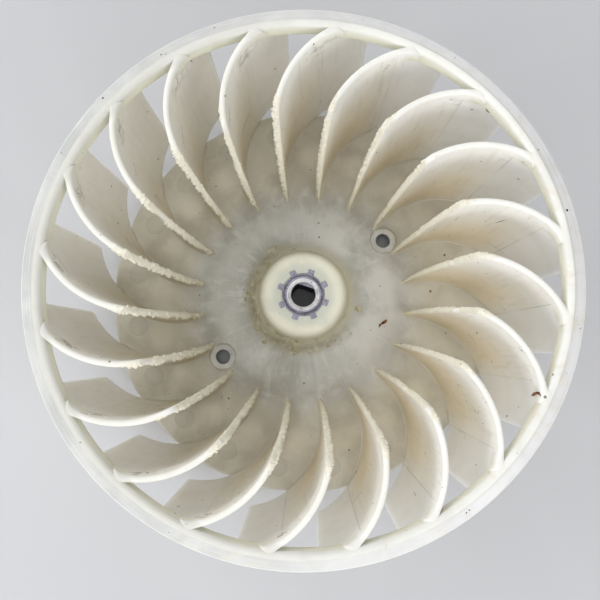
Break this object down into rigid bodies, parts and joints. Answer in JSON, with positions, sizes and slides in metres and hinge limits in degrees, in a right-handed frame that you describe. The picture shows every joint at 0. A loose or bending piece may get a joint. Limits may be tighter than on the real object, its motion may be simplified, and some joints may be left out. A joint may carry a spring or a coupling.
{
  "type": "centrifugal blower wheel",
  "caption": "Moulded centrifugal fan wheel: curved blades between a dished back plate and a tie ring, open inlet eye, and a metal hub bush with a D-shaped shaft bore.",
  "frame": {"origin": "on the wheel's axis, in the plane of the back plate's rim, where the wheel rests", "axes": "+Z along the wheel's axis from the back plate to the open inlet side; +X and +Y across the wheel, with the blades and the D flat set as in the picture seen from the inlet side"},
  "size_m": [0.24, 0.24, 0.104],
  "materials": {
    "milky_plastic": "natural milky moulding, slightly see-through, worn",
    "cast_metal": "dull cast, fine-grained"
  },
  "bodies": {
    "root": {"wheel": "milky_plastic", "bush": "cast_metal"}
  },
  "joints": []
}
